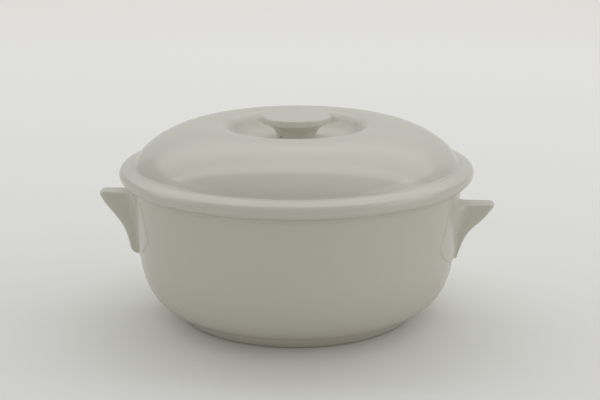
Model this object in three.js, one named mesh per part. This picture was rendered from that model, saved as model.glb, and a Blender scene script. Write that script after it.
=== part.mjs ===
// Lidded porcelain casserole: a round bowl with two lug handles and a domed lid with a disc knob.
// Millimetres, +Z up. The origin is the centre of the foot ring, on the table. The lugs lie on the X axis.
import * as THREE from 'three';

// Facets round the pot and round the knob, and steps along each curve
const potFacets = 60;
const knobFacets = 36;
const steps = {
  foot: 2,
  belly: 10,
  innerBelly: 9,
  wall: 4,
  innerWall: 3,
  wallTable: 60,
  roll: 6,
  rollTop: 3,
  groove: 2,
  dome: 9,
  wellEdge: 2,
  well: 5,
  innerDome: 6,
  innerWellEdge: 1,
  innerWell: 3,
  waist: 6,
  knobEdge: 4,
  plate: 3,
  finFillet: 3,
  finCorner: 3,
  finTop: 3,
  side: 7,
  heel: 3,
  reachTable: 80,
};

// Bowl, outside. Heights are above the table.
const footRadius = 76.5;
const footEdge = 1.6;
const footRingWidth = 6;
const footRecess = 3.4;
const creaseRadius = 86;
const creaseHeight = 8.7;
const baseRadius = 63.4;
const baseHeight = 4.84;
const bellyRadius = 103.6;
const bellyHeight = 52.3;
const bellyDrop = 2.475;
const bellyFullness = 2.91;
const rimRadius = 107.3;
const rimHeight = 91;
const wallStraightening = 14;
const wallLean = 0.2;
const rimBead = 0.7;
const rimBeadHeight = 3.2;
const rimRounding = 0.8;

// Bowl, inside
const bowlWall = 5.5;

// Lid. Heights are above its seat.
const lidRadius = 115;
const lidRollRadius = 4.4;
const rollTopAngle = THREE.MathUtils.degToRad(66.2);
const rollCrestRadius = 107;
const rollCrestHeight = 10.15;
const grooveRadius = 105.6;
const grooveHeight = 9.5;
const grooveFillet = 1.3;
const domeBaseRadius = 105.16;
const domeBaseHeight = 9.3;
const domeRise = 1.514;
const domeFullness = 1.91;
const crestRadius = 54;
const crestHeight = 34.8;
const wellEdgeRadius = 45;
const wellEdgeFall = 1;
const wellEdgeRounding = 4.5;
const wellWallRadius = 38.5;
const wellFloorRadius = 32.5;
const wellFloorHeight = 23.7;
const lidWall = 5;

// Locating flange under the lid, which drops inside the bowl's rim
const flangeClearance = 1.2;
const flangeDepth = 7;
const flangeThickness = 4.2;
const flangeDraft = 0.5;
const flangeRounding = 1;

// Knob. Heights are above the floor of its well.
const knobRadius = 22.5;
const knobHeight = 16.1;
const knobCrown = 0.5;
const knobEdge = 1.6;
const knobRimHeight = 4.3;
const knobNeckRadius = 12.5;
const knobFlare = 8.3;
const knobLip = 0.6;
// How far up the waist its curve stays straight, and how far up it starts to turn under the rim
const waistStraight = 0.42;
const waistTurn = 0.7;
// A point on the crowned top: its share of the knob's radius, and of the crown it has fallen by there
const crownReach = 0.5;
const crownFall = 0.25;

// Lug handles: an upright fin on a thin plate that hugs the wall. Depths are below the top of the fin
// and reaches are out from the wall.
const finHalfWidth = 8.3;
const finTaper = 1;
const finEdge = 3;
const finCorner = 5;
const finFillet = 9;
const finBendShare = 0.4;
const finSideShare = 0.5;
const finLeast = 0.3;
const finTopFillet = 2;
const finTopFall = 0.4;
const finLift = 0.7;
const plateBelowRim = 5;
const plateLip = 0.4;
const plateEdge = 1;
const plateRise = 1.6;
const plateRiseShare = 0.8;
const plateWidening = THREE.MathUtils.degToRad(4.3);
const plateWideningEnd = 0.5;
const plateCornerShare = 0.97;

// Each lug was luted on by hand, so the two differ a little. Upper and lower are the control points of
// the fin's outer edge, as shares of its drop and its reach. Corner is where the round of the plate's
// lower corners starts, as a share of the drop, and the power of its curve.
const rightLug = {
  belowRim: 16.7,
  drop: 36.7,
  reach: 25,
  heel: 2.4,
  heelStart: 0.92,
  upper: [0.56, 0.565],
  lower: [0.3, 0.34],
  halfAngle: THREE.MathUtils.degToRad(23.2),
  corner: [0.5, 1.5],
};
const leftLug = {
  belowRim: 12.1,
  drop: 42,
  reach: 25.9,
  heel: 7.6,
  heelStart: 0.88,
  upper: [0.31, 0.92],
  lower: [0.435, 0.375],
  halfAngle: THREE.MathUtils.degToRad(29.5),
  corner: [0.42, 1],
};

// Gap at each seat: the lid on the rim, the knob in its well and the lugs on the wall
const seatGap = 0.3;

// Porcelain under a clear warm glaze
const glaze = { roughness: 0.16, metalness: 0 };
const bowlGlaze = new THREE.MeshStandardMaterial({ color: 0xd9d6cb, ...glaze });
const lidGlaze = new THREE.MeshStandardMaterial({ color: 0xdcd9cf, ...glaze });

const point = (radius, height) => new THREE.Vector2(radius, height);

// Points on a curve from one end to the other, without the first
const along = (curve, count) => curve.getPoints(count).slice(1);

const arc = (radius, height, bend, from, to, count) => {
  const points = [];
  for (let i = 0; i <= count; i++) {
    const angle = from + ((to - from) * i) / count;
    points.push(point(radius + bend * Math.cos(angle), height + bend * Math.sin(angle)));
  }
  return points;
};

// The same outline moved inwards by a wall's thickness, square to the outline
const insetBy = (outline, thickness) =>
  outline.map((here, i) => {
    const before = outline[Math.max(i - 1, 0)];
    const after = outline[Math.min(i + 1, outline.length - 1)];
    const way = after.clone().sub(before).normalize();
    return point(here.x - way.y * thickness, here.y + way.x * thickness);
  });

// Turns a closed outline about +Z. The outline runs out along the bottom, up, and back in.
const turned = (outline, facets) => new THREE.LatheGeometry(outline, facets).rotateX(Math.PI / 2);

// Outer radius of the belly at a height between the base and the widest belly
const bellyRadiusAt = (height) => {
  const u = (bellyHeight - height) / (bellyHeight - baseHeight);
  return baseRadius + (bellyRadius - baseRadius) * (1 - u ** bellyDrop) ** (1 / bellyFullness);
};

// Belly from a height up to the widest ring, with closer points where it curves most
const belly = (startHeight, count) => {
  const start = Math.asin(Math.min(1, (bellyHeight - startHeight) / (bellyHeight - baseHeight)));
  const points = [];
  for (let i = 0; i <= count; i++) {
    const u = Math.sin(start * (1 - i / count));
    const height = bellyHeight - (bellyHeight - baseHeight) * u;
    points.push(point(bellyRadiusAt(height), height));
  }
  return points;
};

const upperWall = new THREE.QuadraticBezierCurve(
  point(bellyRadius, bellyHeight),
  point(bellyRadius + wallLean, bellyHeight + wallStraightening),
  point(rimRadius, rimHeight),
);

const wallRadiusAt = (height) => {
  if (height <= bellyHeight) return bellyRadiusAt(height);
  const points = upperWall.getPoints(steps.wallTable);
  const next = points.findIndex((p) => p.y >= height);
  if (next < 1) return rimRadius;
  const share = (height - points[next - 1].y) / (points[next].y - points[next - 1].y);
  return points[next - 1].x + (points[next].x - points[next - 1].x) * share;
};

const bowlGeometry = () => {
  const outerBelly = belly(creaseHeight, steps.belly);
  outerBelly[0].x = creaseRadius;
  const upTheWall = belly(baseHeight, steps.innerBelly).concat(along(upperWall, steps.innerWall));
  const innerBelly = insetBy(upTheWall, bowlWall);
  innerBelly.pop();
  const beadFoot = rimHeight - rimBeadHeight;
  const wall = along(upperWall, steps.wall).filter((p) => p.y < beadFoot - 1);
  const recessRadius = footRadius - footRingWidth;
  const rimInside = rimRadius - bowlWall;
  const beadRadius = rimRadius + rimBead;
  return turned(
    [
      point(0, footRecess),
      point(recessRadius - footRecess, footRecess),
      point(recessRadius, 0),
      ...arc(footRadius, footEdge, footEdge, -Math.PI / 2, 0, steps.foot),
      ...outerBelly,
      ...wall,
      point(wallRadiusAt(beadFoot), beadFoot),
      point(beadRadius, beadFoot + rimRounding),
      point(beadRadius, rimHeight - rimRounding),
      point(beadRadius - rimRounding, rimHeight),
      point(rimInside + rimRounding, rimHeight),
      point(rimInside, rimHeight - rimRounding),
      ...innerBelly.reverse(),
      point(0, baseHeight + bowlWall),
    ],
    potFacets,
  );
};

// Top of the lid from the foot of the dome over the crest and down to the floor of the well
const lidTop = (domeSteps, edgeSteps, wellSteps) => {
  const rise = crestHeight - domeBaseHeight;
  const start = Math.asin((grooveHeight + grooveFillet - domeBaseHeight) / rise);
  const points = [];
  for (let i = 0; i <= domeSteps; i++) {
    const u = Math.sin(start + ((Math.PI / 2 - start) * i) / domeSteps);
    const spread = (1 - u ** domeRise) ** (1 / domeFullness);
    points.push(point(crestRadius + (domeBaseRadius - crestRadius) * spread, domeBaseHeight + rise * u));
  }
  const crest = points[domeSteps];
  const edge = point(wellEdgeRadius, crestHeight - wellEdgeFall);
  const foot = point(wellWallRadius, wellFloorHeight);
  const towards = (end) => edge.clone().add(end.clone().sub(edge).setLength(wellEdgeRounding));
  const rounding = new THREE.QuadraticBezierCurve(towards(crest), edge, towards(foot));
  const wall = new THREE.QuadraticBezierCurve(towards(foot), foot, point(wellFloorRadius, wellFloorHeight));
  return points.concat(rounding.getPoints(edgeSteps), along(wall, wellSteps));
};

const lidGeometry = () => {
  const rollX = lidRadius - lidRollRadius;
  const roll = arc(rollX, lidRollRadius, lidRollRadius, -Math.PI / 2, rollTopAngle, steps.roll);
  const rollEnd = roll[roll.length - 1];
  const crest = point(rollCrestRadius, rollCrestHeight);
  const tangentMeets = point(rollEnd.x - (crest.y - rollEnd.y) * Math.tan(rollTopAngle), crest.y);
  const rollTop = new THREE.QuadraticBezierCurve(rollEnd, tangentMeets, crest);
  const groove = point(grooveRadius, grooveHeight);
  const grooveSide = (crest.x + groove.x) / 2;
  const intoGroove = new THREE.CubicBezierCurve(
    crest,
    point(grooveSide, crest.y),
    point(grooveSide, groove.y),
    groove,
  );
  const top = lidTop(steps.dome, steps.wellEdge, steps.well);
  const outOfGroove = new THREE.QuadraticBezierCurve(groove, point(top[0].x, groove.y), top[0]);
  const underside = insetBy(lidTop(steps.innerDome, steps.innerWellEdge, steps.innerWell), lidWall);
  const flangeRadius = rimRadius - bowlWall - flangeClearance;
  const flangeInside = flangeRadius - flangeThickness;
  return turned(
    [
      point(0, wellFloorHeight - lidWall),
      ...underside.reverse(),
      point(flangeInside, -flangeDepth + flangeRounding),
      point(flangeInside + flangeRounding, -flangeDepth),
      point(flangeRadius - flangeDraft - flangeRounding, -flangeDepth),
      point(flangeRadius - flangeDraft, -flangeDepth + flangeRounding),
      point(flangeRadius, 0),
      ...roll,
      ...along(rollTop, steps.rollTop),
      ...along(intoGroove, steps.groove),
      ...along(outOfGroove, steps.groove),
      ...top.slice(1),
      point(0, wellFloorHeight),
    ],
    potFacets,
  );
};

const knobGeometry = () => {
  const rimBottom = knobHeight - knobCrown - knobRimHeight;
  const waist = new THREE.CubicBezierCurve(
    point(knobNeckRadius, 0),
    point(knobNeckRadius, rimBottom * waistStraight),
    point(knobRadius - knobFlare, rimBottom * waistTurn),
    point(knobRadius - knobLip, rimBottom),
  );
  const shoulderTop = knobHeight - knobCrown;
  return turned(
    [
      point(0, 0),
      point(knobNeckRadius, 0),
      ...along(waist, steps.waist),
      ...arc(knobRadius - knobEdge, shoulderTop - knobEdge, knobEdge, 0, Math.PI / 2, steps.knobEdge),
      point(knobRadius * crownReach, knobHeight - knobCrown * crownFall),
      point(0, knobHeight),
    ],
    knobFacets,
  );
};

// How far a fin stands out from the wall at a depth below its top
const finReach = (lug, depth) => {
  const heelDepth = lug.drop * lug.heelStart;
  if (depth >= heelDepth) {
    const share = Math.min(1, (depth - heelDepth) / (lug.drop - heelDepth));
    return lug.heel * Math.sqrt(1 - share ** 2);
  }
  const edge = new THREE.CubicBezierCurve(
    point(0, lug.reach),
    point(lug.drop * lug.upper[0], lug.reach * lug.upper[1]),
    point(lug.drop * lug.lower[0], lug.reach * lug.lower[1]),
    point(heelDepth, lug.heel),
  ).getPoints(steps.reachTable);
  const next = Math.max(1, edge.findIndex((p) => p.x >= depth));
  const share = (depth - edge[next - 1].x) / (edge[next].x - edge[next - 1].x);
  return edge[next - 1].y + (edge[next].y - edge[next - 1].y) * share;
};

// Half of what a plate spans round the bowl at a depth. It widens downwards and its lower corners are round.
const plateAngle = (lug, depth) => {
  const share = depth / lug.drop;
  const down = THREE.MathUtils.clamp(share / plateWideningEnd, 0, 1);
  const [cornerStart, power] = lug.corner;
  const corner = Math.max(0, (share - cornerStart) / (1 - cornerStart));
  return (lug.halfAngle + plateWidening * down ** 2) * Math.sqrt(1 - plateCornerShare * corner ** power);
};

const polar = (radius, angle) => point(Math.cos(angle), Math.sin(angle)).multiplyScalar(radius);

// One level of a lug: the outer outline from one root to the other, then the line against the wall.
// Draw is how far the fin's sides are drawn in there, spread the least width of the fillet at its root,
// rise the plate's height at that fillet and edge its thickness at the rim.
const lugLevel = (lug, { depth, reach, draw = 0, spread = 0, rise = plateRise, edge = plateEdge }) => {
  const height = rimHeight - lug.belowRim - depth;
  const wall = wallRadiusAt(height);
  const rootAngle = plateAngle(lug, depth);
  const valleyRise = Math.max(edge, Math.min(rise, reach * plateRiseShare));
  const tip = wall + Math.max(valleyRise + finLeast, reach);
  const room = tip - wall - valleyRise;
  const fillet = Math.min(finFillet + draw, room * finBendShare);
  const round = Math.min(finCorner - draw, room * finBendShare);
  const side = Math.min(finHalfWidth - draw, wall * Math.sin(rootAngle) * finSideShare);
  const nose = side - (finTaper * room) / lug.reach;
  const valleyAngle = Math.asin((side + Math.max(spread, fillet)) / wall);
  const half = [polar(wall + seatGap + plateLip, rootAngle)];
  const plateStart = rootAngle - edge / wall;
  for (let i = 0; i <= steps.plate; i++) {
    const share = i / steps.plate;
    const radius = wall + edge + (valleyRise - edge) * share ** 2;
    half.push(polar(radius, plateStart + (valleyAngle - plateStart) * share));
  }
  const valley = half[half.length - 1];
  const finStart = point(wall + valleyRise + fillet, side);
  const turn = point(valley.x + (valley.y - side) * Math.tan(valleyAngle), side);
  half.push(...along(new THREE.QuadraticBezierCurve(valley, turn, finStart), steps.finFillet));
  half.push(...arc(tip - round, nose - round, round, Math.PI / 2, 0, steps.finCorner), point(tip, 0));
  const outer = half.concat(half.slice(0, -1).reverse().map((p) => point(p.x, -p.y)));
  const inner = outer.map((_, i) => polar(wall + seatGap, rootAngle * (1 - (2 * i) / (outer.length - 1))));
  const lifted = outer.map((p) => {
    const out = Math.max(0, p.x - wall - valleyRise) / lug.reach;
    return [p.x, p.y, height + finLift * out];
  });
  return [...lifted, ...inner.map((p) => [p.x, p.y, height])];
};

const lugGeometry = (lug) => {
  const plateTop = plateBelowRim - lug.belowRim;
  const spread = (lug.reach - plateEdge) * finBendShare;
  const above = { draw: finEdge, spread, rise: plateEdge };
  const levels = [
    lugLevel(lug, { ...above, depth: plateTop, reach: plateEdge, edge: seatGap + plateLip }),
    lugLevel(lug, { ...above, depth: plateTop + plateEdge, reach: plateEdge }),
  ];
  for (let i = 0; i < steps.finTop; i++) {
    const angle = (Math.PI / 2) * (i / (steps.finTop - 1));
    const depth = -finTopFillet + (finTopFillet - finTopFall) * Math.sin(angle);
    const reach = plateEdge + finTopFillet * (1 - Math.cos(angle));
    levels.push(lugLevel(lug, { ...above, depth, reach }));
  }
  for (let i = 0; i < steps.finTop; i++) {
    const angle = (Math.PI / 2) * (i / steps.finTop);
    const depth = finEdge * (1 - Math.cos(angle));
    const draw = finEdge * (1 - Math.sin(angle));
    levels.push(lugLevel(lug, { depth, reach: finReach(lug, depth) - draw, draw }));
  }
  const heelDepth = lug.drop * lug.heelStart;
  for (let i = 0; i <= steps.side; i++) {
    const depth = finEdge + ((heelDepth - finEdge) * i) / steps.side;
    levels.push(lugLevel(lug, { depth, reach: finReach(lug, depth) }));
  }
  for (let i = 1; i <= steps.heel; i++) {
    const depth = heelDepth + (lug.drop - heelDepth) * Math.sin((Math.PI / 2) * (i / steps.heel));
    levels.push(lugLevel(lug, { depth, reach: finReach(lug, depth) }));
  }
  const count = levels[0].length / 2;
  const places = levels.flat(2);
  const outerAt = (level, i) => level * 2 * count + i;
  const innerAt = (level, i) => level * 2 * count + count + i;
  const faces = [];
  const quad = (a, b, c, d) => faces.push(a, b, c, a, c, d);
  for (let level = 0; level + 1 < levels.length; level++) {
    for (let i = 0; i + 1 < count; i++) {
      quad(outerAt(level, i), outerAt(level, i + 1), outerAt(level + 1, i + 1), outerAt(level + 1, i));
      quad(innerAt(level, i + 1), innerAt(level, i), innerAt(level + 1, i), innerAt(level + 1, i + 1));
    }
    quad(innerAt(level, 0), outerAt(level, 0), outerAt(level + 1, 0), innerAt(level + 1, 0));
    const end = count - 1;
    quad(outerAt(level, end), innerAt(level, end), innerAt(level + 1, end), outerAt(level + 1, end));
  }
  const last = levels.length - 1;
  for (let i = 0; i + 1 < count; i++) {
    quad(outerAt(0, i + 1), outerAt(0, i), innerAt(0, i), innerAt(0, i + 1));
    quad(outerAt(last, i), outerAt(last, i + 1), innerAt(last, i + 1), innerAt(last, i));
  }
  const geometry = new THREE.BufferGeometry();
  geometry.setAttribute('position', new THREE.Float32BufferAttribute(places, 3));
  geometry.setIndex(faces);
  geometry.computeVertexNormals();
  return geometry;
};

const mesh = (name, geometry, material) => {
  const piece = new THREE.Mesh(geometry, material);
  piece.name = name;
  return piece;
};

const casserole = new THREE.Group();
casserole.add(mesh('bowl', bowlGeometry(), bowlGlaze));
casserole.add(mesh('right_handle', lugGeometry(rightLug), bowlGlaze));
const leftHandle = mesh('left_handle', lugGeometry(leftLug), bowlGlaze);
leftHandle.rotation.z = Math.PI;
casserole.add(leftHandle);

const lidGroup = new THREE.Group();
lidGroup.position.z = rimHeight + seatGap;
lidGroup.add(mesh('lid', lidGeometry(), lidGlaze));
const knob = mesh('lid_knob', knobGeometry(), lidGlaze);
knob.position.z = wellFloorHeight + seatGap;
lidGroup.add(knob);
casserole.add(lidGroup);

export default casserole;
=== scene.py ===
"""A lidded porcelain casserole: a round bowl with two lug handles, and a domed lid with a disc knob.

Sizes are in millimetres, as a potter's drawing gives them, and MM turns them to Blender's metres.
Profiles are lists of (radius, height), and heights are above the table. Only the studio's floor and
lamps are given in metres.
"""

import math

import bpy
from mathutils import Matrix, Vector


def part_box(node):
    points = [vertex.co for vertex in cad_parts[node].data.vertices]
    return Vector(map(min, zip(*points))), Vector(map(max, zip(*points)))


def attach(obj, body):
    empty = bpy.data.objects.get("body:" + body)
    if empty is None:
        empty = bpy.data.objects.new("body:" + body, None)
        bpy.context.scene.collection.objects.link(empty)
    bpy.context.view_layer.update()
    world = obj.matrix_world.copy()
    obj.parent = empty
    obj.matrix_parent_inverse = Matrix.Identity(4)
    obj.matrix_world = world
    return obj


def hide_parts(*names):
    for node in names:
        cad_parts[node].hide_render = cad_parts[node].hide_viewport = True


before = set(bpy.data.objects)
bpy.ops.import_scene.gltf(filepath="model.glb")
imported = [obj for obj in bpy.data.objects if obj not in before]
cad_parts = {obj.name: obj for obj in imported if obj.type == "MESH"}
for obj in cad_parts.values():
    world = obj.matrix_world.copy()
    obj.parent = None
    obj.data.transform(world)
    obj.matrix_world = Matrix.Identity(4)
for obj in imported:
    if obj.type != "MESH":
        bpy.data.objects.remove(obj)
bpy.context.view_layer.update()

MM = 0.001
TURNS = 192
KNOB_TURNS = 96
SPUN_MERGE = 0.01
LUG_MERGE = 0.001

# Bowl: the foot ring, with a recess under the floor of the bowl
FOOT_RADIUS = 76.5
FOOT_EDGE = 1.6
FOOT_OUTER_ROUNDING = 1.4
FOOT_OUTER_BULGE = 0.3
FOOT_RING_WIDTH = 6.0
FOOT_INNER_ROUNDING = 0.6
FOOT_INNER_EASE = (0.4, 0.2)
FOOT_RECESS = 3.4
FOOT_RECESS_EASE = 2.0
BARE_HEIGHT = 0.3

# Bowl: the crease over the foot, the belly and the wall
CREASE_RADIUS = 86.0
CREASE_HEIGHT = 8.7
CREASE_FILLET = 1.6
CREASE_EASE = 0.9
BASE_RADIUS = 63.4
BASE_HEIGHT = 4.84
BELLY_RADIUS = 103.6
BELLY_HEIGHT = 52.3
BELLY_DROP = 2.475
BELLY_FULLNESS = 2.91
WALL_STRAIGHTENING = 14.0
WALL_LEAN = 0.2
BOWL_WALL = 5.5

# Bowl: the rim with its bead
RIM_RADIUS = 107.3
RIM_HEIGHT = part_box("bowl")[1][2] / MM
RIM_BEAD = 0.7
RIM_BEAD_HEIGHT = 3.2
RIM_BEAD_EASE = 0.3
RIM_BEAD_TUCK = 0.1
RIM_BEAD_CLEAR = 1.0
RIM_ROUNDING = 0.8
RIM_INSIDE_CLEAR = 2.0

# Lid, with heights above its seat
SEAT_GAP = 0.3
LID_SEAT = RIM_HEIGHT + SEAT_GAP
LID_WALL = 5.0
LID_RADIUS = 114.9
LID_ROLL_RADIUS = 4.4
ROLL_TOP_ANGLE = 66.2
ROLL_CREST_RADIUS = 107.0
ROLL_CREST_HEIGHT = 10.15
GROOVE_HEIGHT = 9.5
GROOVE_FILLET = 2.2
GROOVE_EASE = 0.9
DOME_BASE_RADIUS = 105.16
DOME_BASE_HEIGHT = 9.3
DOME_RISE = 1.514
DOME_FULLNESS = 1.91
CREST_RADIUS = 54.0
CREST_HEIGHT = 34.8
WELL_EDGE_RADIUS = 45.0
WELL_EDGE_FALL = 1.0
WELL_EDGE_ROUNDING = 4.5
WELL_WALL_RADIUS = 38.5
WELL_FLOOR_RADIUS = 32.5
WELL_FLOOR_HEIGHT = 23.7

# Lid: the flange that drops inside the bowl's rim
FLANGE_CLEARANCE = 1.2
FLANGE_RADIUS = RIM_RADIUS - BOWL_WALL - FLANGE_CLEARANCE
FLANGE_DEPTH = 7.0
FLANGE_THICKNESS = 4.2
FLANGE_ROUNDING = 1.0
FLANGE_TAPER = 0.5
FLANGE_SEAT_FILLET = 0.8
FLANGE_ROOT_HEIGHT = 8.0
FLANGE_ROOT_EASE = 1.0

# Knob, with heights above its foot
KNOB_FOOT = LID_SEAT + WELL_FLOOR_HEIGHT
KNOB_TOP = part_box("lid_knob")[1][2] / MM
KNOB_NECK_RADIUS = 12.5
KNOB_FOOT_FILLET = 1.2
KNOB_NECK_SHARE = 0.42
KNOB_FLARE = 8.3
KNOB_FLARE_SHARE = 0.7
KNOB_RADIUS = 22.5
KNOB_LIP_INSIDE = (1.0, 0.2)
KNOB_LIP = 0.6
KNOB_LIP_ROUNDING = 0.4
KNOB_LIP_HEIGHT = 1.3
KNOB_RIM_HEIGHT = 4.3
KNOB_EDGE = 1.6
KNOB_CROWN = 0.5
KNOB_CROWN_EASE = (1.0, 0.02)
PINHOLE_RADIUS = 0.55
PINHOLE_HEIGHT = 3.0
PINHOLE_ANGLE = math.radians(222.9)
PINHOLE_SHARPNESS = math.radians(35)

# Lugs: an upright fin on a thin plate. Depths are below the fin's top, and reaches are from the wall.
FIN_HALF_WIDTH = 8.3
FIN_TAPER = 1.0
FIN_EDGE = 3.0
FIN_CORNER = 5.0
FIN_FILLET = 9.0
FIN_BEND_SHARE = 0.4
FIN_SIDE_SHARE = 0.5
FIN_LEAST = 0.1
FIN_TOP_FILLET = 2.0
FIN_TOP_FALL = 0.4
FIN_LIFT = 0.7
PLATE_BELOW_RIM = 5.0
PLATE_EDGE = 0.5
PLATE_LEAST_SHARE = 0.1
PLATE_FEATHER = 3.0
PLATE_DIP = 0.25
PLATE_RISE = 1.6
PLATE_RISE_SHARE = 0.8
PLATE_TUCK = 0.1
PLATE_BURIED = 1.5
PLATE_WIDENING = math.radians(4.3)
PLATE_WIDENING_END = 0.5
PLATE_CORNER_SHARE = 0.97
LUG_SHARPNESS = math.radians(40)
RIGHT_LUG = {"below_rim": 16.7, "drop": 36.7, "reach": 25.0, "heel": 2.4, "heel_start": 0.92,
             "upper": (0.56, 0.565), "lower": (0.3, 0.34), "half_angle": math.radians(23.2),
             "corner": (0.5, 1.5)}
LEFT_LUG = {"below_rim": 12.1, "drop": 42.0, "reach": 25.9, "heel": 7.6, "heel_start": 0.88,
            "upper": (0.31, 0.92), "lower": (0.435, 0.375), "half_angle": math.radians(29.5),
            "corner": (0.42, 1.0)}

# Glaze and biscuit: the sizes of their patterns
CLOUD_SIZE = 60.0
RIPPLE_SIZE = 9.0
PEEL_SIZE = 1.6
GRAIN_SIZE = 1.2

# Camera: a 75 mm lens 0.8 m away, a little to the right of square on. Its focal length is also given in
# pixels of an image of that width.
CAMERA_DISTANCE = 800.0
CAMERA_HEIGHT = 284.3
CAMERA_SIDESTEP = 2.2
CAMERA_AZIMUTH = math.radians(4.5)
CAMERA_PITCH = 0.2571
CAMERA_ROLL = 0.0036
LENS_PIXELS = 1256.0
IMAGE_WIDTH = 600
SENSOR_WIDTH = 36.0

# Studio, in metres and watts. The ceiling is lit in strips, each given by its middle and its depth. The
# softboxes stand round the pot, each given by its place, the height that it faces, and its size.
FLOOR_SIZE = 30.0
FLOOR_FADE = (0.5, 2.2)
CEILING_HEIGHT = 2.4
CEILING_WIDTH = 8.0
CEILING_STRIPS = (("overhead_softbox", 0.6, 0.66, 24.0),
                  ("top_back_softbox", 2.05, 2.24, 44.5),
                  ("far_top_softbox", 3.84, 1.33, 13.0))
SOFTBOXES = (("back_softbox", (0.0, 2.8, 0.75), 0.1, (4.5, 1.5), 4.5),
             ("front_softbox", (0.0, -2.6, 1.1), 0.05, (3.6, 1.4), 6.3),
             ("left_softbox", (-1.7, -0.3, 0.8), 0.08, (1.4, 1.2), 2.7),
             ("right_softbox", (1.7, -0.3, 0.8), 0.08, (1.4, 1.2), 4.6))
ROOM_LIGHT = 0.41
ROOM = "#e4e3e0"
BACKDROP = "#dfddd9"
PAPER = "#e4e2de"
PAPER_SEEN = "#f4f3f1"
COOL_LIGHT = "#fafffe"
PLAIN_LIGHT = "#ffffff"


def linear(hex_colour):
    """An sRGB hex colour as linear red, green, blue and alpha."""
    channels = [int(hex_colour[i:i + 2], 16) / 255 for i in (1, 3, 5)]
    return [c / 12.92 if c <= 0.04045 else ((c + 0.055) / 1.055) ** 2.4 for c in channels] + [1.0]


def shares(count, first=0):
    """Even shares of a way, in so many steps, from the first one asked for to the whole way."""
    return [i / count for i in range(first, count + 1)]


def ease(share):
    """A share of a way that starts and ends level."""
    return share ** 2 * (3 - 2 * share)


def between(start, end, share):
    """The point at that share of the way from start to end."""
    return tuple(a + (b - a) * share for a, b in zip(start, end))


def towards(start, end, distance):
    """The point that far from start on the way to end."""
    return between(start, end, distance / math.hypot(end[0] - start[0], end[1] - start[1]))


def height_on(line, along):
    """The second coordinate of a rising line of points where its first one is along."""
    for (a0, b0), (a1, b1) in zip(line, line[1:]):
        if along <= a1:
            return b0 + (b1 - b0) * (along - a0) / (a1 - a0)
    return line[-1][1]


def polar(radius, angle):
    return (radius * math.cos(angle), radius * math.sin(angle))


def bezier(controls, steps):
    """Points along a Bezier curve of any degree, both ends included."""
    points = []
    for share in shares(steps):
        row = list(controls)
        while len(row) > 1:
            row = [between(p, q, share) for p, q in zip(row, row[1:])]
        points.append(row[0])
    return points


def arc(centre, bend, start, end, steps):
    """Points on a round of radius bend about a centre, with angles in degrees."""
    points = []
    for share in shares(steps):
        out, up = polar(bend, math.radians(start + (end - start) * share))
        points.append((centre[0] + out, centre[1] + up))
    return points


def inset(outline, thickness):
    """The outline moved inwards by a wall's thickness, square to itself."""
    moved = []
    for i, (radius, height) in enumerate(outline):
        before = outline[max(i - 1, 0)]
        after = outline[min(i + 1, len(outline) - 1)]
        dr, dh = after[0] - before[0], after[1] - before[1]
        length = math.hypot(dr, dh)
        moved.append((radius - dh / length * thickness, height + dr / length * thickness))
    return moved


def raised(outline, height):
    return [(radius, h + height) for radius, h in outline]


def belly_radius(height):
    """The bowl's outer radius below its widest height, on a rounded-square curve."""
    down = (BELLY_HEIGHT - height) / (BELLY_HEIGHT - BASE_HEIGHT)
    return BASE_RADIUS + (BELLY_RADIUS - BASE_RADIUS) * (1 - down ** BELLY_DROP) ** (1 / BELLY_FULLNESS)


def belly(start_height, steps):
    """The belly's outline up from a height, with points closer together where it bends more."""
    fall = BELLY_HEIGHT - BASE_HEIGHT
    start = math.asin(min(1, (BELLY_HEIGHT - start_height) / fall))
    heights = [BELLY_HEIGHT - fall * math.sin(start * (1 - share)) for share in shares(steps)]
    return [(belly_radius(height), height) for height in heights]


UPPER_WALL = bezier([(BELLY_RADIUS, BELLY_HEIGHT),
                     (BELLY_RADIUS + WALL_LEAN, BELLY_HEIGHT + WALL_STRAIGHTENING),
                     (RIM_RADIUS, RIM_HEIGHT)], 40)
UPPER_WALL_BY_HEIGHT = [(height, radius) for radius, height in UPPER_WALL]


def wall_radius(height):
    """The bowl's outer radius at any height, without the bead."""
    if height <= BELLY_HEIGHT:
        return belly_radius(height)
    return height_on(UPPER_WALL_BY_HEIGHT, height)


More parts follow.
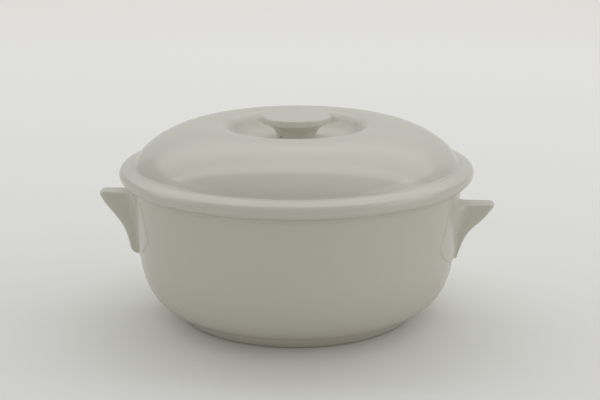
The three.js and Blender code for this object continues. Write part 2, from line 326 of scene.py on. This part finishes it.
def bowl_outline():
    """From the middle of the underside out over the foot, up the wall, and back inside to the middle."""
    recess = FOOT_RADIUS - FOOT_RING_WIDTH
    recess_end = recess - FOOT_RECESS
    flat_end = (recess_end - FOOT_RECESS_EASE, FOOT_RECESS)
    under_foot = bezier([flat_end, (recess_end, FOOT_RECESS),
                         (recess - FOOT_RECESS / 2, FOOT_RECESS / 2),
                         (recess - FOOT_INNER_EASE[0], FOOT_INNER_EASE[1]),
                         (recess + FOOT_INNER_ROUNDING, 0)], 8)
    foot = bezier([(FOOT_RADIUS - FOOT_OUTER_ROUNDING, 0), (FOOT_RADIUS + FOOT_OUTER_BULGE, 0),
                   (FOOT_RADIUS + FOOT_EDGE, FOOT_EDGE)], 6)
    belly_foot = CREASE_HEIGHT + CREASE_EASE
    crease = bezier([(CREASE_RADIUS - CREASE_FILLET, CREASE_HEIGHT - CREASE_FILLET),
                     (CREASE_RADIUS, CREASE_HEIGHT), (belly_radius(belly_foot), belly_foot)], 6)
    bead = RIM_RADIUS + RIM_BEAD
    bead_foot = RIM_HEIGHT - RIM_BEAD_HEIGHT
    wall = [p for p in UPPER_WALL[2::2] if p[1] < bead_foot - RIM_BEAD_CLEAR]
    wall_top = wall_radius(bead_foot)
    under_bead = bezier([(wall_top, bead_foot - RIM_BEAD_EASE),
                         (wall_top + RIM_BEAD_TUCK, bead_foot + RIM_BEAD_EASE),
                         (bead, bead_foot + RIM_BEAD_EASE), (bead, bead_foot + RIM_ROUNDING)], 6)
    inside = RIM_RADIUS - BOWL_WALL
    rounding = RIM_HEIGHT - RIM_ROUNDING
    rim = (arc((bead - RIM_ROUNDING, rounding), RIM_ROUNDING, 0, 90, 5)
           + arc((inside + RIM_ROUNDING, rounding), RIM_ROUNDING, 90, 180, 5))
    inner = inset(belly(BASE_HEIGHT, 40) + UPPER_WALL[2::2], BOWL_WALL)
    inner = [p for p in inner if p[1] < RIM_HEIGHT - RIM_INSIDE_CLEAR]
    return (
        [(0, FOOT_RECESS)]
        + under_foot
        + foot
        + crease
        + belly(CREASE_HEIGHT + CREASE_FILLET, 36)
        + wall
        + under_bead
        + rim
        + inner[::-1]
        + [(0, BASE_HEIGHT + BOWL_WALL)]
    )


def lid_top(dome_steps, edge_steps, well_steps):
    """From the foot of the dome over the crest and down to the floor of the well."""
    rise = CREST_HEIGHT - DOME_BASE_HEIGHT
    spread = DOME_BASE_RADIUS - CREST_RADIUS
    start = math.asin((GROOVE_HEIGHT + GROOVE_FILLET - DOME_BASE_HEIGHT) / rise)
    dome = []
    for share in shares(dome_steps):
        up = min(1.0, math.sin(start + (math.pi / 2 - start) * share))
        out = (1 - up ** DOME_RISE) ** (1 / DOME_FULLNESS)
        dome.append((CREST_RADIUS + spread * out, DOME_BASE_HEIGHT + rise * up))
    edge = (WELL_EDGE_RADIUS, CREST_HEIGHT - WELL_EDGE_FALL)
    foot = (WELL_WALL_RADIUS, WELL_FLOOR_HEIGHT)
    wall_start = towards(edge, foot, WELL_EDGE_ROUNDING)
    rounding = bezier([towards(edge, dome[-1], WELL_EDGE_ROUNDING), edge, wall_start], edge_steps)
    wall = bezier([wall_start, foot, (WELL_FLOOR_RADIUS, WELL_FLOOR_HEIGHT)], well_steps)
    return dome + rounding + wall[1:]


def flange_outline():
    """Down the inside of the flange, round its foot, and up to the seat on the rim."""
    inside = FLANGE_RADIUS - FLANGE_THICKNESS
    root = bezier([(inside + FLANGE_ROOT_EASE, FLANGE_ROOT_HEIGHT), (inside, FLANGE_ROOT_HEIGHT / 2),
                   (inside, 0)], 4)
    foot = FLANGE_ROUNDING - FLANGE_DEPTH
    outside = FLANGE_RADIUS - FLANGE_TAPER - FLANGE_ROUNDING
    return (
        root
        + arc((inside + FLANGE_ROUNDING, foot), FLANGE_ROUNDING, 180, 270, 5)
        + arc((outside, foot), FLANGE_ROUNDING, 270, 360, 5)
        + bezier([(FLANGE_RADIUS, -FLANGE_SEAT_FILLET), (FLANGE_RADIUS, 0),
                  (FLANGE_RADIUS + FLANGE_SEAT_FILLET, 0)], 3)
    )


def lid_outline():
    """From the middle of the underside out to the flange, round the roll, and over the dome to the well."""
    under = inset(lid_top(24, 6, 10), LID_WALL)
    roll = arc((LID_RADIUS - LID_ROLL_RADIUS, LID_ROLL_RADIUS), LID_ROLL_RADIUS, -90, ROLL_TOP_ANGLE, 20)
    crest = (ROLL_CREST_RADIUS, ROLL_CREST_HEIGHT)
    slope = math.tan(math.radians(ROLL_TOP_ANGLE))
    roll_top = bezier([roll[-1], (roll[-1][0] - (crest[1] - roll[-1][1]) * slope, crest[1]), crest], 12)
    top = lid_top(44, 10, 20)
    groove = bezier([crest, (crest[0] - GROOVE_EASE, crest[1]), towards(top[0], top[1], -GROOVE_FILLET),
                     top[0]], 14)
    outline = (
        [(0, WELL_FLOOR_HEIGHT - LID_WALL)]
        + under[::-1]
        + flange_outline()
        + roll
        + roll_top[1:]
        + groove[1:]
        + top[1:]
        + [(0, WELL_FLOOR_HEIGHT)]
    )
    return raised(outline, LID_SEAT)


def knob_outline():
    """From the middle of the foot up the neck, under the disc and round its edge to the middle of the top."""
    height = KNOB_TOP - KNOB_FOOT
    shoulder = height - KNOB_CROWN
    disc = shoulder - KNOB_RIM_HEIGHT
    foot = bezier([(KNOB_NECK_RADIUS + KNOB_FOOT_FILLET, 0), (KNOB_NECK_RADIUS, 0),
                   (KNOB_NECK_RADIUS, KNOB_FOOT_FILLET)], 4)
    neck = bezier([foot[-1], (KNOB_NECK_RADIUS, disc * KNOB_NECK_SHARE),
                   (KNOB_RADIUS - KNOB_FLARE, disc * KNOB_FLARE_SHARE),
                   (KNOB_RADIUS - KNOB_LIP_INSIDE[0], disc - KNOB_LIP_INSIDE[1])], 20)
    lip = bezier([(KNOB_RADIUS - KNOB_LIP, disc), (KNOB_RADIUS, disc + KNOB_LIP_ROUNDING),
                  (KNOB_RADIUS, disc + KNOB_LIP_HEIGHT)], 4)
    inside = KNOB_RADIUS - KNOB_EDGE
    edge = arc((inside, shoulder - KNOB_EDGE), KNOB_EDGE, 0, 90, 8)
    crown = bezier([(inside - KNOB_CROWN_EASE[0], shoulder + KNOB_CROWN_EASE[1]),
                    (KNOB_RADIUS / 2, height), (0, height)], 8)
    outline = [(0, 0), (KNOB_NECK_RADIUS, 0)] + foot + neck[1:] + lip + edge + crown
    return raised(outline, KNOB_FOOT)


def spun(name, outline, turns):
    """A piece drawn as one point, extruded along its outline and spun about the pot's axis."""
    bpy.ops.object.select_all(action="DESELECT")
    bpy.ops.mesh.primitive_plane_add(size=MM)
    piece = bpy.context.object
    piece.name = name
    bpy.ops.object.mode_set(mode="EDIT")
    bpy.ops.mesh.select_all(action="SELECT")
    bpy.ops.mesh.merge(type="CENTER")
    bpy.ops.transform.translate(value=(outline[0][0] * MM, 0, outline[0][1] * MM))
    for (r0, h0), (r1, h1) in zip(outline, outline[1:]):
        step = ((r1 - r0) * MM, 0, (h1 - h0) * MM)
        bpy.ops.mesh.extrude_vertices_move(TRANSFORM_OT_translate={"value": step})
    bpy.ops.mesh.select_all(action="SELECT")
    bpy.ops.mesh.spin(steps=turns, angle=2 * math.pi, center=(0, 0, 0), axis=(0, 0, 1))
    bpy.ops.mesh.select_all(action="SELECT")
    bpy.ops.mesh.remove_doubles(threshold=SPUN_MERGE * MM)
    bpy.ops.mesh.normals_make_consistent(inside=False)
    bpy.ops.object.mode_set(mode="OBJECT")
    bpy.ops.object.shade_smooth()
    return piece


def heel_depth(sizes):
    """How far below the fin's top its nose and lower edge end, and its heel begins."""
    return sizes["drop"] * sizes["heel_start"]


def fin_reach(sizes, depth):
    """How far the fin stands out from the wall at a depth below its top."""
    heel = heel_depth(sizes)
    if depth >= heel:
        share = min(1.0, (depth - heel) / (sizes["drop"] - heel))
        return sizes["heel"] * math.sqrt(1 - share ** 2)
    edge = bezier([(0, sizes["reach"]),
                   (sizes["drop"] * sizes["upper"][0], sizes["reach"] * sizes["upper"][1]),
                   (sizes["drop"] * sizes["lower"][0], sizes["reach"] * sizes["lower"][1]),
                   (heel, sizes["heel"])], 120)
    return height_on(edge, depth)


def plate_angle(sizes, depth):
    """Half of what the plate spans round the bowl. It widens downwards, and its lower corners are round."""
    share = depth / sizes["drop"]
    down = min(1.0, max(0.0, share / PLATE_WIDENING_END))
    corner_start, power = sizes["corner"]
    corner = max(0.0, (share - corner_start) / (1 - corner_start))
    narrowing = math.sqrt(1 - PLATE_CORNER_SHARE * corner ** power)
    return (sizes["half_angle"] + PLATE_WIDENING * down ** 2) * narrowing


def lug_level(sizes, depth, reach, draw=0.0, spread=0.0, rise=PLATE_RISE, edge=PLATE_EDGE):
    """One level of a lug, as a closed ring of (x, y, z): out round the fin, and back inside the wall.

    Draw is how far the fin's sides are drawn in at that level, and spread the least width of the fillet
    at its root. The plate stands out from the wall by rise at that fillet, and by edge near its margin.
    """
    height = RIM_HEIGHT - sizes["below_rim"] - depth
    wall = wall_radius(height)
    root_angle = plate_angle(sizes, depth)
    valley_rise = max(edge, min(rise, reach * PLATE_RISE_SHARE))
    root = wall + valley_rise
    tip = wall + max(valley_rise + FIN_LEAST, reach)
    room = tip - root
    fillet = min(FIN_FILLET + draw, room * FIN_BEND_SHARE)
    bend = min(FIN_CORNER - draw, room * FIN_BEND_SHARE)
    side = min(FIN_HALF_WIDTH - draw, wall * math.sin(root_angle) * FIN_SIDE_SHARE)
    nose = side - FIN_TAPER * room / sizes["reach"]
    valley_angle = math.asin((side + max(spread, fillet)) / wall)
    feather_end = root_angle - PLATE_FEATHER / wall
    half = []
    for share in shares(8):
        out = (edge + PLATE_TUCK) * ease(share) - PLATE_TUCK
        half.append(polar(wall + out, root_angle + (feather_end - root_angle) * share))
    for share in shares(16, 1):
        swell = (valley_rise - edge) * share ** 2 - min(edge, PLATE_DIP) * math.sin(math.pi * share)
        half.append(polar(wall + edge + swell, feather_end + (valley_angle - feather_end) * share))
    valley = half[-1]
    turn = (valley[0] + (valley[1] - side) * math.tan(valley_angle), side)
    half += bezier([valley, turn, (root + fillet, side)], 10)[1:]
    half += [between(half[-1], (tip - bend, nose), share) for share in shares(4, 1)[:-1]]
    half += arc((tip - bend, nose - bend), bend, 90, 0, 8)
    half += [(tip, (nose - bend) / 2), (tip, 0)]
    outer = half + [(x, -y) for x, y in half[-2::-1]]
    ring = []
    for x, y in outer:
        ring.append((x, y, height + FIN_LIFT * max(0.0, x - root) / sizes["reach"]))
    for share in shares(len(outer) - 1):
        x, y = polar(wall - PLATE_BURIED, -root_angle * (1 - 2 * share))
        ring.append((x, y, height))
    return ring


def lug_levels(sizes):
    """The levels of a lug from the top edge of its plate down to its heel."""
    top = PLATE_BELOW_RIM - sizes["below_rim"]
    spread = (sizes["reach"] - PLATE_EDGE) * FIN_BEND_SHARE
    heel = heel_depth(sizes)
    levels = []
    # The feathered top edge of the plate
    for share in shares(8):
        edge = PLATE_EDGE * ease(share)
        levels.append(lug_level(sizes, top + PLATE_FEATHER * share, edge, FIN_EDGE, spread, edge, edge))
    # The plain plate, and the fillet that turns it out to the fin's top
    plain_start = top + PLATE_FEATHER
    for share in shares(4, 1):
        depth = plain_start + (-FIN_TOP_FILLET - plain_start) * share
        levels.append(lug_level(sizes, depth, PLATE_EDGE, FIN_EDGE, spread, PLATE_EDGE))
    for share in shares(8, 1):
        angle = math.pi / 2 * share
        depth = -FIN_TOP_FILLET + (FIN_TOP_FILLET - FIN_TOP_FALL) * math.sin(angle)
        reach = PLATE_EDGE + FIN_TOP_FILLET * (1 - math.cos(angle))
        levels.append(lug_level(sizes, depth, reach, FIN_EDGE, spread, PLATE_EDGE))
    # The round edge of the fin's top
    for share in shares(8)[:-1]:
        angle = math.pi / 2 * share
        depth = FIN_EDGE * (1 - math.cos(angle))
        draw = FIN_EDGE * (1 - math.sin(angle))
        rise = PLATE_EDGE + (PLATE_RISE - PLATE_EDGE) * share
        levels.append(lug_level(sizes, depth, fin_reach(sizes, depth) - draw, draw, 0, rise))
    # The fin down to its heel, and the round heel
    for share in shares(32):
        depth = FIN_EDGE + (heel - FIN_EDGE) * share
        levels.append(lug_level(sizes, depth, fin_reach(sizes, depth)))
    for share in shares(10, 1):
        down = math.sin(math.pi / 2 * share)
        depth = heel + (sizes["drop"] - heel) * down
        edge = PLATE_EDGE * max(PLATE_LEAST_SHARE, math.sqrt(1 - down ** 2))
        levels.append(lug_level(sizes, depth, fin_reach(sizes, depth), edge=edge))
    return levels


def lug(name, sizes, turn):
    """A lug lofted level by level: a grid wrapped round its outline, with the top and bottom filled."""
    levels = lug_levels(sizes)
    around = len(levels[0])
    bpy.ops.object.select_all(action="DESELECT")
    bpy.ops.mesh.primitive_grid_add(x_subdivisions=around, y_subdivisions=len(levels) - 1, size=1)
    piece = bpy.context.object
    piece.name = name
    columns = around + 1
    for vertex in piece.data.vertices:
        x, y, z = levels[vertex.index // columns][vertex.index % columns % around]
        vertex.co = (x * MM, y * MM, z * MM)
    piece.data.transform(Matrix.Rotation(turn, 4, "Z"))
    bpy.ops.object.mode_set(mode="EDIT")
    bpy.ops.mesh.select_all(action="SELECT")
    bpy.ops.mesh.remove_doubles(threshold=LUG_MERGE * MM)
    bpy.ops.mesh.select_all(action="DESELECT")
    bpy.ops.mesh.select_non_manifold()
    bpy.ops.mesh.edge_face_add()
    bpy.ops.mesh.select_all(action="SELECT")
    bpy.ops.mesh.normals_make_consistent(inside=False)
    bpy.ops.object.mode_set(mode="OBJECT")
    bpy.ops.object.shade_smooth_by_angle(angle=LUG_SHARPNESS)
    return piece


def prick(piece, place, radius, sharpness, material):
    """A small round pit in a piece, cut with a ball whose material stays on the pit's wall."""
    bpy.ops.object.select_all(action="DESELECT")
    bpy.ops.mesh.primitive_uv_sphere_add(segments=24, ring_count=12, radius=radius, location=place)
    ball = bpy.context.object
    ball.data.materials.append(material)
    cut = piece.modifiers.new("prick", "BOOLEAN")
    cut.operation = "DIFFERENCE"
    cut.solver = "EXACT"
    cut.material_mode = "TRANSFER"
    cut.object = ball
    bpy.context.view_layer.objects.active = piece
    bpy.ops.object.modifier_apply(modifier="prick")
    bpy.data.objects.remove(ball)
    bpy.ops.object.select_all(action="DESELECT")
    piece.select_set(True)
    bpy.ops.object.shade_smooth_by_angle(angle=sharpness)


def feed(tree, made, *in_order, **by_name):
    """Gives a node's inputs their values, or links from outputs, in the inputs' order or by their names."""
    sockets = list(zip(made.inputs, in_order))
    sockets += [(made.inputs[name.replace("_", " ")], value) for name, value in by_name.items()]
    for socket, value in sockets:
        if isinstance(value, bpy.types.NodeSocket):
            tree.links.new(value, socket)
        else:
            socket.default_value = value
    return made


def node(tree, kind, settings=(), *in_order, **by_name):
    """A new node of that kind, with its settings and its inputs fed."""
    made = tree.nodes.new(kind)
    for name, value in dict(settings).items():
        setattr(made, name, value)
    return feed(tree, made, *in_order, **by_name)


def new_material(name):
    """A material, its node tree and its main shader."""
    material = bpy.data.materials.new(name)
    material.use_nodes = True
    return material, material.node_tree, material.node_tree.nodes["Principled BSDF"]


def glazed_porcelain(name, tint, deep):
    """Hard-paste porcelain, jiggered and glost fired: warm white, with a glassy, faintly rippled skin."""
    material, tree, shader = new_material(name)
    place = node(tree, "ShaderNodeTexCoord").outputs["Object"]
    # Cloudy patches, where the glaze lies thicker or thinner, deepen the tint and soften the gloss
    clouds = node(tree, "ShaderNodeTexNoise", Vector=place, Scale=1 / (CLOUD_SIZE * MM), Detail=2.0)
    colour = node(tree, "ShaderNodeMix", {"data_type": "RGBA"}, Factor=clouds.outputs["Fac"],
                  A=linear(tint), B=linear(deep))
    gloss = node(tree, "ShaderNodeMapRange", Value=clouds.outputs["Fac"], To_Min=0.13, To_Max=0.18)
    # Slow ripples and a fine orange peel bend the highlights
    ripple = node(tree, "ShaderNodeTexNoise", Vector=place, Scale=1 / (RIPPLE_SIZE * MM), Detail=1.0)
    peel = node(tree, "ShaderNodeTexNoise", Vector=place, Scale=1 / (PEEL_SIZE * MM), Detail=0.0)
    slow = node(tree, "ShaderNodeBump", Height=ripple.outputs["Fac"], Strength=0.12, Distance=0.2 * MM)
    fine = node(tree, "ShaderNodeBump", Height=peel.outputs["Fac"], Strength=0.05, Distance=0.03 * MM,
                Normal=slow.outputs["Normal"])
    feed(tree, shader, Base_Color=colour.outputs["Result"], Roughness=gloss.outputs["Result"], IOR=1.5,
         Normal=fine.outputs["Normal"])
    return material


def bare_biscuit():
    """Unglazed fired porcelain, wiped clean on the foot: matt, a little grey, with a fine grain."""
    material, tree, shader = new_material("bare_biscuit_foot")
    place = node(tree, "ShaderNodeTexCoord").outputs["Object"]
    grain = node(tree, "ShaderNodeTexNoise", Vector=place, Scale=1 / (GRAIN_SIZE * MM), Detail=3.0)
    colour = node(tree, "ShaderNodeMix", {"data_type": "RGBA"}, Factor=grain.outputs["Fac"],
                  A=linear("#d8d3c6"), B=linear("#c3bdaf"))
    bump = node(tree, "ShaderNodeBump", Height=grain.outputs["Fac"], Strength=0.3, Distance=0.1 * MM)
    feed(tree, shader, Base_Color=colour.outputs["Result"], Roughness=0.75, IOR=1.5,
         Normal=bump.outputs["Normal"])
    return material


def pinhole_painted_shade():
    """Painted shade in the pinhole: near black and matt on the pit's wall, the one dark dot on the pot."""
    material, tree, shader = new_material("pinhole_shade_painted_black")
    feed(tree, shader, Base_Color=linear("#3a3732"), Roughness=0.7, IOR=1.5)
    return material


def floor_material():
    """Matt seamless paper: paler to the camera than in the light it throws back, and even far off."""
    material, tree, paper = new_material("seamless_paper_floor")
    seen = node(tree, "ShaderNodeLightPath").outputs["Is Camera Ray"]
    colour = node(tree, "ShaderNodeMix", {"data_type": "RGBA"}, Factor=seen, A=linear(PAPER),
                  B=linear(PAPER_SEEN))
    feed(tree, paper, Base_Color=colour.outputs["Result"], Roughness=0.9)
    # Far off, the camera sees an even backdrop, so no horizon shows
    place = node(tree, "ShaderNodeTexCoord").outputs["Object"]
    away = node(tree, "ShaderNodeVectorMath", {"operation": "LENGTH"}, Vector=place).outputs["Value"]
    fade = node(tree, "ShaderNodeMapRange", {"interpolation_type": "SMOOTHSTEP"}, Value=away,
                From_Min=FLOOR_FADE[0], From_Max=FLOOR_FADE[1]).outputs["Result"]
    share = node(tree, "ShaderNodeMath", {"operation": "MULTIPLY"}, fade, seen).outputs["Value"]
    even = node(tree, "ShaderNodeEmission", Color=linear(BACKDROP)).outputs["Emission"]
    mixed = node(tree, "ShaderNodeMixShader", (), share, paper.outputs["BSDF"], even)
    feed(tree, tree.nodes["Material Output"], Surface=mixed.outputs["Shader"])
    return material


def make_camera():
    """The camera that sees the pot as the photograph does."""
    data = bpy.data.cameras.new("camera")
    data.sensor_width = SENSOR_WIDTH
    data.lens = LENS_PIXELS * SENSOR_WIDTH / IMAGE_WIDTH
    camera = bpy.data.objects.new("camera", data)
    bpy.context.scene.collection.objects.link(camera)
    place = Matrix.Translation((CAMERA_SIDESTEP * MM, -CAMERA_DISTANCE * MM, CAMERA_HEIGHT * MM))
    tilt = Matrix.Rotation(math.pi / 2 - CAMERA_PITCH, 4, "X") @ Matrix.Rotation(-CAMERA_ROLL, 4, "Z")
    camera.matrix_world = Matrix.Rotation(CAMERA_AZIMUTH, 4, "Z") @ place @ tilt
    bpy.context.scene.camera = camera


def area_light(name, place, target, size, power, colour):
    """A rectangular lamp that faces its target, with its width level."""
    data = bpy.data.lights.new(name, "AREA")
    data.shape = "RECTANGLE"
    data.size, data.size_y = size
    data.energy = power
    data.color = linear(colour)[:3]
    light = bpy.data.objects.new(name, data)
    bpy.context.scene.collection.objects.link(light)
    light.location = place
    way = [t - p for t, p in zip(target, place)]
    flat = math.hypot(way[0], way[1])
    light.rotation_euler = (math.atan2(flat, -way[2]), 0, math.atan2(-way[0], way[1]))


def make_studio():
    """A pale paper floor under a lit ceiling, with softboxes round the pot and a dim pale room."""
    bpy.ops.object.select_all(action="DESELECT")
    bpy.ops.mesh.primitive_plane_add(size=FLOOR_SIZE)
    floor = bpy.context.object
    floor.name = "floor"
    floor.data.materials.append(floor_material())
    for name, middle, depth, power in CEILING_STRIPS:
        place = (0, middle, CEILING_HEIGHT)
        area_light(name, place, (0, middle, 0), (CEILING_WIDTH, depth), power, COOL_LIGHT)
    for name, place, faced, size, power in SOFTBOXES:
        area_light(name, place, (0, 0, faced), size, power, PLAIN_LIGHT)
    world = bpy.data.worlds.new("studio")
    bpy.context.scene.world = world
    world.use_nodes = True
    tree = world.node_tree
    room = feed(tree, tree.nodes["Background"], Color=linear(ROOM), Strength=ROOM_LIGHT)
    # To the camera the room is the same pale tone as the far floor
    backdrop = node(tree, "ShaderNodeBackground", Color=linear(BACKDROP), Strength=1.0)
    seen = node(tree, "ShaderNodeLightPath").outputs["Is Camera Ray"]
    mixed = node(tree, "ShaderNodeMixShader", (), seen, room.outputs["Background"],
                 backdrop.outputs["Background"])
    feed(tree, tree.nodes["World Output"], Surface=mixed.outputs["Shader"])
    bpy.context.scene.view_settings.view_transform = "Standard"


make_camera()
make_studio()

glaze_bowl = glazed_porcelain("glazed_porcelain_bowl", "#d9d6cb", "#d4d1c5")
glaze_lid = glazed_porcelain("glazed_porcelain_lid", "#dcdad0", "#d6d3c8")

bowl = spun("bowl_shell", bowl_outline(), TURNS)
bowl.data.materials.append(glaze_bowl)
bowl.data.materials.append(bare_biscuit())
for face in bowl.data.polygons:
    if face.center.z < BARE_HEIGHT * MM:
        face.material_index = 1
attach(bowl, "bowl")
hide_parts("bowl")

for name, sizes, turn in (("left_handle", LEFT_LUG, math.pi), ("right_handle", RIGHT_LUG, 0.0)):
    piece = lug(name + "_lug", sizes, turn)
    piece.data.materials.append(glaze_bowl)
    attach(piece, "bowl")
    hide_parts(name)

lid = spun("lid_dome", lid_outline(), TURNS)
knob = spun("lid_disc_knob", knob_outline(), KNOB_TURNS)
for piece, name in ((lid, "lid"), (knob, "lid_knob")):
    piece.data.materials.append(glaze_lid)
    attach(piece, "lid")
    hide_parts(name)
pinhole = (*polar(KNOB_NECK_RADIUS * MM, PINHOLE_ANGLE), (KNOB_FOOT + PINHOLE_HEIGHT) * MM)
# The pit's wall is painted near black, a painted shade for the dark inside of the hole
prick(knob, pinhole, PINHOLE_RADIUS * MM, PINHOLE_SHARPNESS, pinhole_painted_shade())

bpy.context.view_layer.update()
